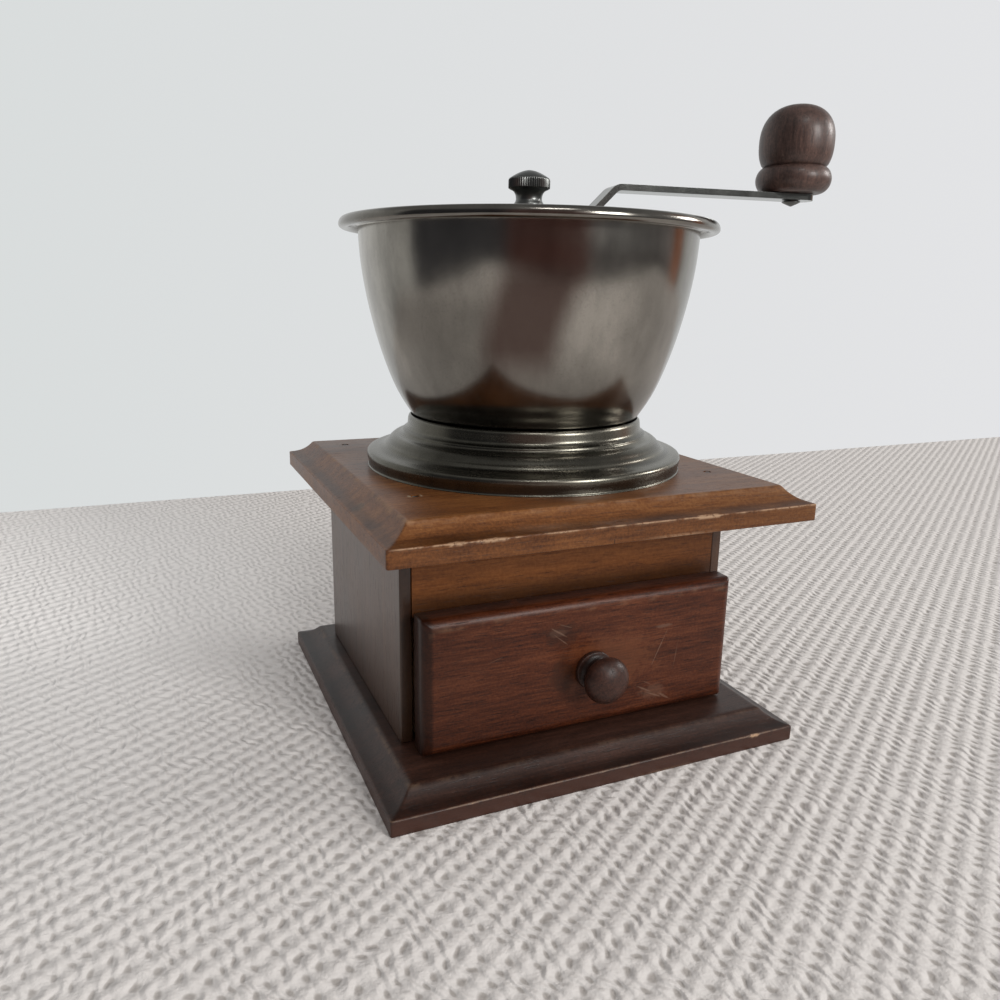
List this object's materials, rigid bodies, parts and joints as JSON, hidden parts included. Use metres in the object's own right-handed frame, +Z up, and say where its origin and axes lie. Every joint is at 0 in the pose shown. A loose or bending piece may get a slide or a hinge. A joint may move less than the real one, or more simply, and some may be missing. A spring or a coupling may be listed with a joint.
{
  "type": "manual coffee grinder",
  "caption": "Box coffee mill with an open sheet-metal hopper, a stepped collar, a bent crank with a turned knob, a conical burr set and a drawer in a coved wooden case.",
  "frame": {"origin": "middle of the base board's underside, which is flat; the grinding axis passes through it", "axes": "+Z up along the shaft, -Y out of the drawer's face, +X to the right as the drawer is faced"},
  "size_m": [0.1932, 0.15, 0.2258],
  "materials": {
    "case_wood": "satin stained varnish",
    "drawer_wood": "satin stained varnish",
    "inner_wood": "bare, sanded",
    "knob_wood": "gloss stained varnish",
    "hopper_metal": "dark pewter plating, semi-gloss",
    "crank_steel": "bright, worn",
    "dark_steel": "blackened",
    "cast_iron": "as cast",
    "bush_brass": "machined"
  },
  "bodies": {
    "case": {"base_board": "case_wood", "left_side_panel": "case_wood", "right_side_panel": "case_wood", "back_panel": "case_wood", "front_rail": "case_wood", "top_board": "case_wood", "brad_front_left": "dark_steel", "brad_front_right": "dark_steel", "brad_back_left": "dark_steel", "brad_back_right": "dark_steel", "hopper_bowl": "hopper_metal", "hopper_collar": "hopper_metal", "hopper_cross_bar": "dark_steel", "cross_bar_bush": "bush_brass", "burr_housing": "cast_iron", "ring_burr": "cast_iron", "lower_bearing_bar": "dark_steel", "hopper_screw_1": "dark_steel", "hopper_screw_2": "dark_steel", "hopper_screw_3": "dark_steel", "housing_screw_1": "dark_steel", "housing_screw_2": "dark_steel", "housing_screw_3": "dark_steel", "bearing_bar_screw_1": "dark_steel", "bearing_bar_screw_2": "dark_steel"},
    "crank": {"drive_shaft": "dark_steel", "cone_burr": "cast_iron", "burr_pin": "dark_steel", "burr_spring": "crank_steel", "spring_washer": "dark_steel", "adjusting_nut": "dark_steel", "stop_plate": "crank_steel", "crank_arm": "crank_steel", "cap_nut": "dark_steel", "knob_spindle": "dark_steel"},
    "knob": {"crank_knob": "knob_wood"},
    "drawer": {"drawer_front": "drawer_wood", "drawer_left_side": "inner_wood", "drawer_right_side": "inner_wood", "drawer_back": "inner_wood", "drawer_bottom": "inner_wood", "drawer_knob": "knob_wood", "drawer_knob_screw": "dark_steel"}
  },
  "joints": [
    {"name": "crank_spin", "type": "hinge", "parent": "case", "child": "crank", "pos_m": [0, 0, 0.12], "axis": [0, 0, 1], "continuous": true},
    {"name": "knob_spin", "type": "hinge", "parent": "crank", "child": "knob", "pos_m": [0.10427, -0.0154, 0.2], "axis": [0, 0, 1], "continuous": true},
    {"name": "drawer_slide", "type": "slide", "parent": "case", "child": "drawer", "axis": [0, -1, 0], "range_m": [-0.0033, 0.075]}
  ]
}
